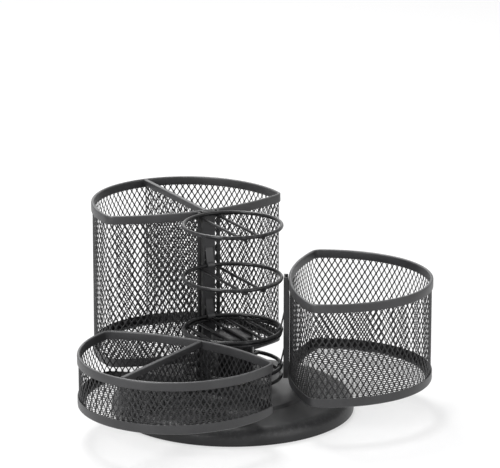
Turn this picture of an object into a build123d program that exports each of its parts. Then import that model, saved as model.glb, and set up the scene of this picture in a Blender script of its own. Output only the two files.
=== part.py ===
from build123d import *

import math
import os

# Rotating desk organizer: a weighted round foot, a turning wire silo, and three
# expanded-metal bins that hang on the silo's rings and lift off.
# Millimetres. The origin is on the spin axis, at the surface the foot stands on.
# +Z is up, +X runs through the middle of the medium bin.

os.makedirs("parts", exist_ok=True)

# Foot
base_radius = 75.0
base_sheet = 1.2
skirt_foot = 0.6
shoulder_room = 2.65
shoulder_fillet = 8.0
dish_rise = 1.0
step_radius = 45.0
step_width = 3.0
step_rise = 1.2
flare_run = 11.0
flare_lift = 0.6
collar_radius = 16.0
collar_rise = 5.3
step_fillet = 2.0
flare_fillet = 9.0
collar_fillet = 1.5
pad_thickness = 1.5
ballast_thickness = 5.0
ballast_margin = 7.8

# Spindle and bearing
spindle_radius = 4.0
spindle_foot_radius = 9.0
spindle_foot = 1.4
spindle_chamfer = 0.6
spindle_headroom = 2.3
screw_radius = 1.95
screw_length = 12.0
screw_head_radius = 3.8
screw_head = 2.1
screw_socket_radius = 1.6
screw_socket_depth = 1.3
washer_width = 3.1
washer_thickness = 0.75
thrust_radius = 12.0
thrust_thickness = 1.0
spacer_wall = 3.6
bush_height = 6.0
bush_flange = 1.2
bush_wall = 3.6
clip_thickness = 0.8
clip_width = 2.6
clip_groove_height = 1.0

# Turning silo
hub_radius = 13.0
hub_wall = 2.0
hub_cap_thickness = 1.5
ring_radius = 30.0
ring_wire = 2.4
thin_wire = 1.8
bottom_ring_rise = 1.0
lower_ring_rise = 6.2
silo_floor_rise = 29.2
ring_pitch = 33.1
divider_offset = 6.1
divider_overhang = 0.3
floor_wire_pitch = 9.8
floor_wire_count = 5
spoke_count = 3

# Bins
bin_depth = 87.3
bin_drop = 0.8
front_arc = 134.0
corner_arc = 6.5
side_arc = 71.0
nose_arc = 58.0
nose_angle = 53.0
tray_height = 32.0
medium_height = 64.5
tall_height = 97.5
mesh_sheet = 0.8
band_sheet = 0.6
rim_band_height = 5.3
bottom_band_height = 5.8
band_flange = 3.6
trim_height = 5.0
net_across = 6.6
net_along = 10.5
net_strand = 1.3
net_margin = 1.5
wall_slot_columns = 24
wall_slot_along = 21.0
wall_slot_strand = 2.4
wall_slot_depth = 5.0

# Hangers
channel_width = 8.5
channel_depth = 2.85
channel_sheet = 0.8
hook_width = 5.0
hook_window_width = 5.8
hook_rise = 11.4
hook_shoulder = 0.35
hook_bend_height = 0.9
hook_bend_set = 0.1
hook_sheet = 0.9
hook_tip_drop = 0.55

# Clearances
weld_gap = 0.05
slip_gap = 0.1
head_gap = 0.2
ring_gap = 0.25
thread_gap = 0.05
window_gap = 0.4

BIN_HEIGHT = {"medium": medium_height, "tall": tall_height, "tray": tray_height}
BIN_AZIMUTH = {name: index * 360 / len(BIN_HEIGHT) for index, name in enumerate(BIN_HEIGHT)}
DIVIDED_BINS = ("tall", "tray")


def save(builder, label):
    """Label a finished sub-part and write it as its own STEP file."""
    builder.part.label = label
    export_step(builder.part, f"parts/{label}.step")
    print(f"{label}: {builder.part.volume / 1000:.2f} cm3")


def on_bearing(radius, azimuth, height):
    """Point at a radius and azimuth from the spin axis, at a height."""
    angle = math.radians(azimuth)
    return (radius * math.cos(angle), radius * math.sin(angle), height)


def radial_plane(azimuth, height):
    """Level plane whose X runs outwards along an azimuth."""
    return Plane(origin=(0, 0, height), x_dir=on_bearing(1, azimuth, 0), z_dir=(0, 0, 1))


def upright_plane(azimuth, height):
    """Vertical plane through the axis: X runs outwards and Y runs up."""
    across = on_bearing(1, azimuth - 90, 0)
    return Plane(origin=(0, 0, height), x_dir=on_bearing(1, azimuth, 0), z_dir=across)


def tube_profile(outer, inner):
    """Ring-shaped sketch between two radii."""
    Circle(outer)
    Circle(inner, mode=Mode.SUBTRACT)


# Foot

ballast_bottom = pad_thickness + weld_gap
ballast_top = ballast_bottom + ballast_thickness
shoulder_height = ballast_top + base_sheet + shoulder_room
step_low = shoulder_height + dish_rise
step_high = step_low + step_rise
flare_foot = step_high + flare_lift
collar_height = flare_foot + collar_rise

# Closed profile of the pressed sheet: the outer side first, then the same corners one sheet lower.
outer_corners = [
    (base_radius, skirt_foot),
    (base_radius, shoulder_height),
    (step_radius + step_width / 2, step_low),
    (step_radius - step_width / 2, step_high),
    (collar_radius + flare_run, flare_foot),
    (collar_radius, collar_height),
    (spindle_radius + slip_gap, collar_height),
]
outer_fillets = [shoulder_fillet, step_fillet, step_fillet, flare_fillet, collar_fillet]
inner_corners = [(r - base_sheet, z - base_sheet) for r, z in outer_corners[1:-1]]
inner_corners.insert(0, (base_radius - base_sheet, skirt_foot))
inner_corners.append((spindle_radius + slip_gap, collar_height - base_sheet))
inner_fillets = [
    shoulder_fillet - base_sheet,
    step_fillet,
    step_fillet,
    flare_fillet,
    collar_fillet,
]

with BuildPart() as base_shell:
    with BuildSketch(Plane.XZ):
        with BuildLine():
            FilletPolyline(*outer_corners, radius=outer_fillets)
            FilletPolyline(*inner_corners, radius=inner_fillets)
            Line(outer_corners[0], inner_corners[0])
            Line(outer_corners[-1], inner_corners[-1])
        make_face()
    revolve(axis=Axis.Z)
save(base_shell, "base_shell")

with BuildPart() as non_slip_pad:
    with BuildSketch():
        Circle(base_radius - base_sheet - slip_gap)
    extrude(amount=pad_thickness)
save(non_slip_pad, "non_slip_pad")

# The plate is sunk from below for the screw's head and washer.
washer_radius = screw_radius + washer_width
counterbore_radius = washer_radius + head_gap
counterbore_depth = head_gap + screw_head + washer_thickness + 2 * weld_gap

with BuildPart() as ballast_plate:
    with BuildSketch(Plane.XY.offset(ballast_bottom)):
        tube_profile(base_radius - base_sheet - ballast_margin, screw_radius + slip_gap)
    extrude(amount=ballast_thickness)
    with BuildSketch(Plane.XY.offset(ballast_bottom)):
        Circle(counterbore_radius)
    extrude(amount=counterbore_depth, mode=Mode.SUBTRACT)
save(ballast_plate, "ballast_plate")

spindle_bottom = ballast_top + weld_gap
thrust_bottom = collar_height + weld_gap
hub_bottom = thrust_bottom + thrust_thickness + weld_gap

# Heights of the silo, stacked on the hub's lower end.
bottom_ring_height = hub_bottom + bottom_ring_rise + ring_wire / 2
lower_ring_height = bottom_ring_height + lower_ring_rise
silo_floor_height = bottom_ring_height + silo_floor_rise
floor_wire_height = silo_floor_height - ring_wire / 2 - thin_wire / 2 - weld_gap
cap_top = floor_wire_height - thin_wire / 2 - weld_gap
hub_top = cap_top - hub_cap_thickness - weld_gap
spindle_top = hub_top - spindle_headroom

with BuildPart() as spindle:
    with BuildSketch(Plane.XY.offset(spindle_bottom)):
        Circle(spindle_foot_radius)
    extrude(amount=spindle_foot)
    with BuildSketch(Plane.XY.offset(spindle_bottom + spindle_foot)):
        Circle(spindle_radius)
    extrude(amount=spindle_top - spindle_bottom - spindle_foot)
    chamfer(spindle.edges().group_by(Axis.Z)[-1], spindle_chamfer)
    with BuildSketch(Plane.XY.offset(spindle_bottom)):
        Circle(screw_radius + thread_gap)
    extrude(amount=screw_length, mode=Mode.SUBTRACT)
save(spindle, "spindle")

counterbore_top = ballast_bottom + counterbore_depth
washer_bottom = counterbore_top - weld_gap - washer_thickness
head_top = washer_bottom - weld_gap

with BuildPart() as spindle_washer:
    with BuildSketch(Plane.XY.offset(washer_bottom)):
        tube_profile(washer_radius, screw_radius + slip_gap)
    extrude(amount=washer_thickness)
save(spindle_washer, "spindle_washer")

with BuildPart() as spindle_screw:
    with BuildSketch(Plane.XY.offset(head_top - screw_head)):
        Circle(screw_head_radius)
    extrude(amount=screw_head)
    with BuildSketch(Plane.XY.offset(head_top)):
        Circle(screw_radius)
    extrude(amount=screw_length)
    with BuildSketch(Plane.XY.offset(head_top - screw_head)):
        RegularPolygon(screw_socket_radius, 6)
    extrude(amount=screw_socket_depth, mode=Mode.SUBTRACT)
save(spindle_screw, "spindle_screw")

spacer_bottom = spindle_bottom + spindle_foot + weld_gap
spacer_top = collar_height - base_sheet - weld_gap

with BuildPart() as collar_spacer:
    with BuildSketch(Plane.XY.offset(spacer_bottom)):
        tube_profile(spindle_radius + spacer_wall, spindle_radius + slip_gap)
    extrude(amount=spacer_top - spacer_bottom)
save(collar_spacer, "collar_spacer")

with BuildPart() as thrust_washer:
    with BuildSketch(Plane.XY.offset(thrust_bottom)):
        tube_profile(thrust_radius, spindle_radius + slip_gap)
    extrude(amount=thrust_thickness)
save(thrust_washer, "thrust_washer")

# Turning hub

hub_bore = hub_radius - hub_wall
bush_outer = hub_bore - weld_gap
bush_inner = spindle_radius + thread_gap

with BuildPart() as hub_sleeve:
    with BuildSketch(Plane.XY.offset(hub_bottom)):
        tube_profile(hub_radius, hub_bore)
    extrude(amount=hub_top - hub_bottom)
save(hub_sleeve, "hub_sleeve")

with BuildPart() as hub_cap:
    with BuildSketch(Plane.XY.offset(hub_top + weld_gap)):
        Circle(hub_radius)
    extrude(amount=hub_cap_thickness)
    fillet(hub_cap.edges().group_by(Axis.Z)[-1], hub_cap_thickness / 3)
save(hub_cap, "hub_cap")

upper_bush_bottom = spindle_top - clip_groove_height - clip_thickness - slip_gap - bush_height
for bush_name, bush_bottom in (("lower_bush", hub_bottom), ("upper_bush", upper_bush_bottom)):
    with BuildPart() as bush:
        with BuildSketch(Plane.XY.offset(bush_bottom)):
            tube_profile(bush_outer, bush_inner)
        extrude(amount=bush_height)
        with BuildSketch(Plane.XY.offset(bush_bottom + bush_flange)):
            tube_profile(bush_outer - bush_flange, spindle_radius + bush_wall)
        extrude(amount=bush_height, mode=Mode.SUBTRACT)
    save(bush, bush_name)

with BuildPart() as retaining_clip:
    with BuildSketch(Plane.XY.offset(upper_bush_bottom + bush_height + slip_gap)):
        tube_profile(spindle_radius + clip_width, spindle_radius + thread_gap / 2)
    extrude(amount=clip_thickness)
save(retaining_clip, "retaining_clip")

# Silo rings

ring_heights = {
    "ring_top": silo_floor_height + 2 * ring_pitch,
    "ring_middle": silo_floor_height + ring_pitch,
    "ring_silo_floor": silo_floor_height,
    "ring_lower": lower_ring_height,
    "ring_bottom": bottom_ring_height,
}
for ring_name, ring_height in ring_heights.items():
    with BuildPart() as ring:
        with Locations((0, 0, ring_height)):
            Torus(ring_radius, ring_wire / 2)
    save(ring, ring_name)

hoop_radius = ring_radius - (ring_wire - thin_wire) / 2

with BuildPart() as silo_floor_hoop:
    with Locations((0, 0, floor_wire_height)):
        Torus(hoop_radius, thin_wire / 2)
save(silo_floor_hoop, "silo_floor_hoop")

# The thin wires lie along the tall bin's azimuth. Their X plane crosses them.
wire_direction = on_bearing(1, BIN_AZIMUTH["tall"], 0)
wire_side = on_bearing(1, BIN_AZIMUTH["tall"] + 90, 0)


def straight_wire(offset, height, half_length, radius):
    """One straight wire across the silo, offset sideways from the axis."""
    centre = (wire_side[0] * offset, wire_side[1] * offset, height)
    with BuildPart() as wire:
        with BuildSketch(Plane(origin=centre, z_dir=wire_direction)):
            Circle(radius)
        extrude(amount=half_length, both=True)
    return wire


for ring_name in ("ring_top", "ring_middle"):
    wire_height = ring_heights[ring_name] - ring_wire / 2 - thin_wire / 2 - weld_gap
    half_chord = math.sqrt(ring_radius**2 - divider_offset**2) + divider_overhang
    for side_name, side in (("left", 1), ("right", -1)):
        divider_wire = straight_wire(side * divider_offset, wire_height, half_chord, thin_wire / 2)
        save(divider_wire, f"{ring_name}_divider_{side_name}")

for index in range(floor_wire_count):
    offset = (index - (floor_wire_count - 1) / 2) * floor_wire_pitch
    reach = hoop_radius - thin_wire / 2 - weld_gap
    half_chord = math.sqrt(reach**2 - (abs(offset) + thin_wire / 2) ** 2)
    floor_wire = straight_wire(offset, floor_wire_height, half_chord, thin_wire / 2)
    save(floor_wire, f"silo_floor_wire_{index + 1}")

# Two uprights stand outside the rings at the back ends of the divider wires.
upright_radius = ring_radius + ring_wire + weld_gap
upright_angle = math.degrees(math.asin(divider_offset / ring_radius))
upright_bottom = bottom_ring_height - ring_wire / 2
upright_top = ring_heights["ring_top"] + ring_wire / 2
for side_name, side in (("left", 1), ("right", -1)):
    foot = on_bearing(upright_radius, BIN_AZIMUTH["tall"] + side * upright_angle, upright_bottom)
    with BuildPart() as upright:
        with BuildSketch(Plane(origin=foot, z_dir=(0, 0, 1))):
            Circle(ring_wire / 2)
        extrude(amount=upright_top - upright_bottom)
        fillet(upright.edges().group_by(Axis.Z)[-1], ring_wire / 5)
    save(upright, f"upright_{side_name}")

# Short spokes carry the two lower rings on the hub, between the bins.
spoke_start = hub_radius + weld_gap
spoke_end = ring_radius - ring_wire / 2 - weld_gap
for ring_name in ("ring_lower", "ring_bottom"):
    for index in range(spoke_count):
        azimuth = BIN_AZIMUTH["tall"] / 2 + index * 360 / spoke_count
        start = on_bearing(spoke_start, azimuth, ring_heights[ring_name])
        with BuildPart() as spoke:
            with BuildSketch(Plane(origin=start, z_dir=on_bearing(1, azimuth, 0))):
                Circle(ring_wire / 2)
            extrude(amount=spoke_end - spoke_start)
        save(spoke, f"{ring_name}_spoke_{index + 1}")

# Bin plan

# The hanger's channel stands between the rings and the bin's front wall.
web_inner = ring_radius + ring_wire / 2 + ring_gap
channel_outer = web_inner + channel_depth
skin_out = -weld_gap - band_sheet
skin_in = mesh_sheet + weld_gap
bin_front = channel_outer + weld_gap - skin_out
bin_reach = bin_front + bin_depth
bin_bottom = bottom_ring_height - bin_drop

# Four tangent arcs on each side of the bin's middle line: nose, side, corner and front.
# All of them bulge outwards, so an inset only shortens the radii.
nose_centre = (bin_reach - nose_arc, 0)
side_centre = (
    nose_centre[0] - (side_arc - nose_arc) * math.cos(math.radians(nose_angle)),
    -(side_arc - nose_arc) * math.sin(math.radians(nose_angle)),
)
front_centre = (bin_front + front_arc, 0)

# The corner's centre is one corner radius inside both the side arc and the front arc.
to_front = (front_centre[0] - side_centre[0], front_centre[1] - side_centre[1])
centre_distance = math.hypot(*to_front)
side_reach = side_arc - corner_arc
front_reach = front_arc - corner_arc
along = (side_reach**2 - front_reach**2 + centre_distance**2) / (2 * centre_distance)
aside = math.sqrt(side_reach**2 - along**2)
corner_centre = (
    side_centre[0] + (along * to_front[0] - aside * to_front[1]) / centre_distance,
    side_centre[1] + (along * to_front[1] + aside * to_front[0]) / centre_distance,
)
corner_start = math.degrees(
    math.atan2(corner_centre[1] - side_centre[1], corner_centre[0] - side_centre[0])
)
corner_end = math.degrees(
    math.atan2(corner_centre[1] - front_centre[1], corner_centre[0] - front_centre[0])
)


def bin_plan(inset):
    """Plan of the bin as a sketch, with its edge moved inwards from the wall's outside."""
    with BuildSketch() as plan:
        with BuildLine():
            CenterArc(nose_centre, nose_arc - inset, 0, nose_angle)
            CenterArc(side_centre, side_arc - inset, nose_angle, corner_start - nose_angle)
            CenterArc(corner_centre, corner_arc - inset, corner_start, corner_end - corner_start)
            CenterArc(front_centre, front_arc - inset, corner_end, 180 - corner_end)
            mirror(about=Plane.XZ)
        make_face()
    return plan.sketch


# One half of the plan, from the nose's middle to the front's middle.
half_plan = [
    (nose_centre, nose_arc, 0, nose_angle),
    (side_centre, side_arc, nose_angle, corner_start),
    (corner_centre, corner_arc, corner_start, corner_end),
    (front_centre, front_arc, corner_end, 180),
]
half_length = sum(math.radians(end - start) * radius for _, radius, start, end in half_plan)


def wall_plane(distance, side, azimuth):
    """Upright plane that touches the wall: X runs along it, Y up and Z outwards."""
    for centre, radius, start, end in half_plan:
        length = math.radians(end - start) * radius
        if distance <= length:
            break
        distance -= length
    angle = math.radians(min(start + math.degrees(distance / radius), end))
    touch = Vector(centre[0] + radius * math.cos(angle), side * (centre[1] + radius * math.sin(angle)), 0)
    outward = Vector(math.cos(angle), side * math.sin(angle), 0).rotate(Axis.Z, azimuth)
    return Plane(origin=touch.rotate(Axis.Z, azimuth), x_dir=Vector(0, 0, 1).cross(outward), z_dir=outward)


def net_gaps(across_range, along_range, room):
    """Diamond openings in staggered rows, kept where all four corners lie inside the room."""
    half_across = (net_across - net_strand) / 2
    half_along = (net_along - net_strand * net_along / net_across) / 2
    gaps = []
    rows = math.ceil((along_range[1] - along_range[0]) / (net_along / 2))
    columns = math.ceil((across_range[1] - across_range[0]) / net_across)
    for row in range(rows + 1):
        y = along_range[0] + row * net_along / 2
        for column in range(columns + 1):
            x = across_range[0] + (column + 0.5 * (row % 2)) * net_across
            corners = [(x + half_across, y), (x, y + half_along), (x - half_across, y), (x, y - half_along)]
            if all(room(*corner) for corner in corners):
                gaps.append(Wire.make_polygon([Vector(*corner) for corner in corners], close=True))
    return gaps


# Bins

floor_bottom = bin_bottom + band_sheet + weld_gap

floor_edge = bin_plan(skin_in).faces()[0].outer_wire()
floor_room = bin_plan(skin_in + net_margin).faces()[0]
floor_gaps = net_gaps(
    (-bin_reach / 2, bin_reach / 2),
    (bin_front, bin_reach),
    lambda t, n: floor_room.is_inside(Vector(n, t, 0)),
)
floor_gaps = [gap.mirror(Plane.YZ).rotate(Axis.Z, -90) for gap in floor_gaps]
floor_net = Face(floor_edge, floor_gaps)

# Hook profile beside a ring, in the bin's upright plane: X outwards, Y above the ring's centre.
web_middle = web_inner + channel_sheet / 2
clear_of_ring = ring_wire / 2 + ring_gap + hook_sheet / 2
hook_path = [
    (web_middle, hook_rise),
    (ring_radius - head_gap, clear_of_ring + hook_shoulder),
    (ring_radius - clear_of_ring + hook_bend_set, hook_bend_height),
    (ring_radius - clear_of_ring, hook_tip_drop - ring_wire / 2),
]

for bin_name, azimuth in BIN_AZIMUTH.items():
    bin_top = bin_bottom + BIN_HEIGHT[bin_name]

    with BuildPart() as wall:
        with BuildSketch(radial_plane(azimuth, floor_bottom)):
            add(bin_plan(0))
            add(bin_plan(mesh_sheet), mode=Mode.SUBTRACT)
        extrude(amount=bin_top - band_sheet - weld_gap - floor_bottom)
        # Upright slots in level rows stand for the wall's expanded metal.
        net_low = bin_bottom + bottom_band_height + net_margin
        net_high = bin_top - rim_band_height - net_margin
        slot_rows = max(1, round((net_high - net_low) / wall_slot_along))
        row_pitch = (net_high - net_low + wall_slot_strand) / slot_rows
        column_pitch = half_length / wall_slot_columns
        for column in range(wall_slot_columns):
            for side in (1, -1) if column else (1,):
                touching = wall_plane(column * column_pitch, side, azimuth)
                with BuildSketch(touching.offset(mesh_sheet)):
                    with Locations((0, (net_low + net_high) / 2)):
                        with GridLocations(column_pitch, row_pitch, 1, slot_rows):
                            Rectangle(column_pitch - wall_slot_strand, row_pitch - wall_slot_strand)
                extrude(amount=-wall_slot_depth, mode=Mode.SUBTRACT)
    save(wall, f"{bin_name}_wall")

    with BuildPart() as rim_band:
        with BuildSketch(radial_plane(azimuth, bin_top)):
            add(bin_plan(skin_out))
            add(bin_plan(skin_in + band_sheet), mode=Mode.SUBTRACT)
        extrude(amount=-rim_band_height)
        with BuildSketch(radial_plane(azimuth, bin_top - band_sheet)):
            add(bin_plan(-weld_gap))
            add(bin_plan(skin_in), mode=Mode.SUBTRACT)
        extrude(amount=-rim_band_height, mode=Mode.SUBTRACT)
    save(rim_band, f"{bin_name}_rim_band")

    with BuildPart() as bottom_band:
        with BuildSketch(radial_plane(azimuth, bin_bottom)):
            add(bin_plan(skin_out))
            add(bin_plan(-weld_gap), mode=Mode.SUBTRACT)
        extrude(amount=bottom_band_height)
        with BuildSketch(radial_plane(azimuth, bin_bottom)):
            add(bin_plan(skin_out))
            add(bin_plan(band_flange), mode=Mode.SUBTRACT)
        extrude(amount=band_sheet)
    save(bottom_band, f"{bin_name}_bottom_band")

    with BuildPart() as floor:
        with BuildSketch(radial_plane(azimuth, floor_bottom)):
            add(floor_net)
        extrude(amount=mesh_sheet)
    save(floor, f"{bin_name}_floor")

    # A folded channel covers the wall's seam, and its pressed-out tabs hook over the rings.
    hook_rings = [
        height
        for height in ring_heights.values()
        if height > bottom_ring_height and height + hook_rise + band_sheet < bin_top
    ]
    with BuildPart() as hanger:
        with BuildSketch(radial_plane(azimuth, bin_bottom)):
            with Locations(((web_inner + channel_outer) / 2, 0)):
                Rectangle(channel_outer - web_inner, channel_width)
            with Locations(((web_inner + channel_sheet + channel_outer) / 2, 0)):
                Rectangle(
                    channel_outer - web_inner - channel_sheet,
                    channel_width - 2 * channel_sheet,
                    mode=Mode.SUBTRACT,
                )
        extrude(amount=BIN_HEIGHT[bin_name])
        for ring_height in hook_rings:
            with BuildSketch(radial_plane(azimuth, ring_height - window_gap)):
                with Locations((web_middle, 0)):
                    Rectangle(2 * channel_sheet, hook_window_width)
            extrude(amount=hook_rise + window_gap - hook_sheet / 2, mode=Mode.SUBTRACT)
            with BuildSketch(upright_plane(azimuth, ring_height)):
                with BuildLine():
                    hook_line = Polyline(*hook_path)
                trace(line_width=hook_sheet)
            extrude(amount=hook_width / 2, both=True)
    save(hanger, f"{bin_name}_hanger")

for bin_name in DIVIDED_BINS:
    azimuth = BIN_AZIMUTH[bin_name]
    bin_top = bin_bottom + BIN_HEIGHT[bin_name]
    trim_inset = skin_in + band_sheet + slip_gap
    divider_start = bin_front + trim_inset
    divider_length = bin_reach - trim_inset - divider_start
    divider_bottom = floor_bottom + mesh_sheet + weld_gap
    trim_top = bin_top - slip_gap
    divider_height = trim_top - band_sheet - weld_gap - divider_bottom
    net_top = divider_height - trim_height - net_margin

    divider_gaps = net_gaps(
        (net_margin + net_across / 2, divider_length),
        (net_margin + net_along / 2, net_top),
        lambda x, y: net_margin < x < divider_length - net_margin and net_margin < y < net_top,
    )
    with BuildPart() as divider:
        with BuildSketch(upright_plane(azimuth, divider_bottom).offset(-mesh_sheet / 2)):
            outer = Wire.make_polygon(
                [
                    Vector(0, 0),
                    Vector(divider_length, 0),
                    Vector(divider_length, divider_height),
                    Vector(0, divider_height),
                ],
                close=True,
            )
            with Locations((divider_start, 0)):
                add(Face(outer, divider_gaps))
        extrude(amount=mesh_sheet)
    save(divider, f"{bin_name}_divider")

    with BuildPart() as trim:
        with BuildSketch(radial_plane(azimuth, trim_top)):
            with Locations((divider_start + divider_length / 2, 0)):
                Rectangle(divider_length, mesh_sheet + 2 * (band_sheet + weld_gap))
        extrude(amount=-trim_height)
        with BuildSketch(radial_plane(azimuth, trim_top - band_sheet)):
            with Locations((divider_start + divider_length / 2, 0)):
                Rectangle(divider_length, mesh_sheet + 2 * weld_gap)
        extrude(amount=-trim_height, mode=Mode.SUBTRACT)
    save(trim, f"{bin_name}_divider_trim")
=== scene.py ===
import logging
import math
from collections.abc import Callable, Sequence
from dataclasses import dataclass, field
from enum import Enum

import bmesh
import bpy
from mathutils import Matrix, Vector


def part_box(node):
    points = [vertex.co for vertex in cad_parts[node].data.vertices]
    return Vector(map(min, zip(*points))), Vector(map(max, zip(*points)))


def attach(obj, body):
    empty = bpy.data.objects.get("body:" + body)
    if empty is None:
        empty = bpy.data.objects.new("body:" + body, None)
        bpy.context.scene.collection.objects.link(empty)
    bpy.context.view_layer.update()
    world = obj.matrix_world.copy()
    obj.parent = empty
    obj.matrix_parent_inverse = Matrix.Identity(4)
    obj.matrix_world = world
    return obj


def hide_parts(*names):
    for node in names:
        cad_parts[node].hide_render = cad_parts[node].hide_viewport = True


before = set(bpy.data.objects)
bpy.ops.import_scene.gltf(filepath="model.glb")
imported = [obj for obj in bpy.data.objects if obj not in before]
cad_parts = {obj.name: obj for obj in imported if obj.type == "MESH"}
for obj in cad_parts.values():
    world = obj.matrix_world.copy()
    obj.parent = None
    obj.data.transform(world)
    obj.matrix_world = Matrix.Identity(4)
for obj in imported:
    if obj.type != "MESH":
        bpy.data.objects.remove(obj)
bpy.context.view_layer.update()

# Rotating desk organizer: a pressed round foot, a turning wire silo, and three bins of
# expanded metal that hang on the silo's rings. Metres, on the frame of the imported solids.

log = logging.getLogger("organizer")
MM = 0.001
Colour = tuple[float, float, float]
Corner = tuple[float, float, float]
Shape = bmesh.types.BMesh
Point = bmesh.types.BMVert
Edge = bmesh.types.BMEdge
NEAR = 0.01 * MM
WHITE = (1.0, 1.0, 1.0)


class Body(Enum):
    """The bodies that move, by their names in the frame."""

    FOOT = "foot"
    SILO = "silo"
    TALL = "tall_bin"
    MEDIUM = "medium_bin"
    TRAY = "tray_bin"


class Slot(Enum):
    """The material slots of the record."""

    FOOT = "satin_black_foot"
    COAT = "black_powder_coat"
    MESH = "black_mesh"
    STEEL = "bare_steel"
    PLASTIC = "bearing_plastic"
    RUBBER = "rubber"


# Shader nodes


class Value:
    """A number socket that takes part in arithmetic; each operator adds a Math node."""

    def __init__(self, tree: "ShaderTree", socket: bpy.types.NodeSocket) -> None:
        """Wrap an output socket of the tree."""
        self.tree = tree
        self.socket = socket

    def math(self, operation: str, left: "float | Value", right: "float | Value") -> "Value":
        """Add one Math node.

        Args:
            operation: Blender's name of the operation.
            left: The first number.
            right: The second number.

        Returns:
            The node's result.
        """
        return self.tree.node("ShaderNodeMath", {"operation": operation}, {0: left, 1: right})

    def __add__(self, other: "float | Value") -> "Value":
        """Sum."""
        return self.math("ADD", self, other)

    def __radd__(self, other: float) -> "Value":
        """Sum with a plain number on the left."""
        return self.math("ADD", other, self)

    def __sub__(self, other: "float | Value") -> "Value":
        """Difference."""
        return self.math("SUBTRACT", self, other)

    def __rsub__(self, other: float) -> "Value":
        """Difference from a plain number."""
        return self.math("SUBTRACT", other, self)

    def __mul__(self, other: "float | Value") -> "Value":
        """Product."""
        return self.math("MULTIPLY", self, other)

    def __rmul__(self, other: float) -> "Value":
        """Product with a plain number on the left."""
        return self.math("MULTIPLY", other, self)

    def between(self, low: float, high: float) -> "Value":
        """Smooth step from 0 at low to 1 at high.

        Args:
            low: Where the result leaves 0.
            high: Where the result reaches 1.

        Returns:
            The step, from 0 to 1.
        """
        sockets = {0: self, 1: low, 2: high, 3: 0.0, 4: 1.0}
        return self.tree.node("ShaderNodeMapRange", {"interpolation_type": "SMOOTHSTEP"}, sockets)


class ShaderTree:
    """The nodes of one material, or of the world."""

    def __init__(self, owner: bpy.types.ID, output: str = "ShaderNodeOutputMaterial") -> None:
        """Start from an output node and nothing else.

        Args:
            owner: The material or the world.
            output: The output node's type.
        """
        owner.use_nodes = True
        self.nodes = owner.node_tree.nodes
        self.links = owner.node_tree.links
        self.nodes.clear()
        self.output = self.nodes.new(output)

    def node(
        self,
        kind: str,
        settings: dict[str, object] | None = None,
        inputs: dict[str | int, object] | None = None,
        output: str | int = 0,
    ) -> Value:
        """Add any node.

        Args:
            kind: The node's type.
            settings: Its settings, set before its sockets.
            inputs: Values or links, by the socket's name or number.
            output: The output that is wanted.

        Returns:
            That output.
        """
        made = self.nodes.new(kind)
        for name, setting in (settings or {}).items():
            setattr(made, name, setting)
        for name, value in (inputs or {}).items():
            if isinstance(value, Value):
                self.links.new(value.socket, made.inputs[name])
            elif isinstance(value, tuple) and len(value) == 3 and made.inputs[name].type == "RGBA":
                made.inputs[name].default_value = (*value, 1.0)
            else:
                made.inputs[name].default_value = value
        return Value(self, made.outputs[output])

    def noise(self, where: Value, size: float, detail: float, rough: float) -> Value:
        """Noise whose features are about as large as a given size.

        Args:
            where: The coordinates.
            size: The size of a feature, in metres.
            detail: The number of finer layers.
            rough: How strong the finer layers are.

        Returns:
            The noise, about 0.5 in the middle.
        """
        sockets = {"Vector": where, "Scale": 1 / size, "Detail": detail, "Roughness": rough}
        return self.node("ShaderNodeTexNoise", None, sockets)

    def mix(self, share: "float | Value", low: object, high: object) -> Value:
        """Mix two colours.

        Args:
            share: How much of the second.
            low: The first colour, or a link to one.
            high: The second colour, or a link to one.

        Returns:
            The mixed colour.
        """
        return self.node("ShaderNodeMix", {"data_type": "RGBA"}, {0: share, 6: low, 7: high}, 2)

    def relief(self, height: Value, depth: float, under: Value | None = None) -> Value:
        """Turn a height pattern into a normal.

        Args:
            height: The pattern, from 0 to 1.
            depth: How high a pattern of 1 stands, in metres.
            under: A coarser relief that this one lies on.

        Returns:
            The normal.
        """
        sockets: dict[str | int, object] = {"Height": height, "Strength": 1.0, "Distance": depth}
        if under is not None:
            sockets["Normal"] = under
        return self.node("ShaderNodeBump", None, sockets)

    def seen(self) -> Value:
        """Tell the rays that show the background from the rays that light the object.

        Returns:
            1 for camera, mirrored and transmitted rays, and 0 for the rest.
        """
        kinds = ("Is Camera Ray", "Is Glossy Ray", "Is Transmission Ray")
        camera, *others = (self.node("ShaderNodeLightPath", output=kind) for kind in kinds)
        return camera.math("MAXIMUM", camera, camera.math("MAXIMUM", *others))

    def close(self, surface: Value) -> None:
        """Link the finished surface to the material's output."""
        self.links.new(surface.socket, self.output.inputs["Surface"])


@dataclass(frozen=True)
class Finish:
    """What every finish has: a name, a slot and a way to become a material."""

    name: str
    slot: Slot

    def tree(self) -> tuple[bpy.types.Material, ShaderTree, Value]:
        """Start the material.

        Returns:
            The material, its nodes and its object coordinates.
        """
        material = bpy.data.materials.new(self.name)
        tree = ShaderTree(material)
        return material, tree, tree.node("ShaderNodeTexCoord", output="Object")

    def material(self) -> bpy.types.Material:
        """The material, made on the first call and shared from then on."""
        return bpy.data.materials.get(self.name) or self.mixed()

    def mixed(self) -> bpy.types.Material:
        """Make the material; each finish has its own recipe."""
        raise NotImplementedError


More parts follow.
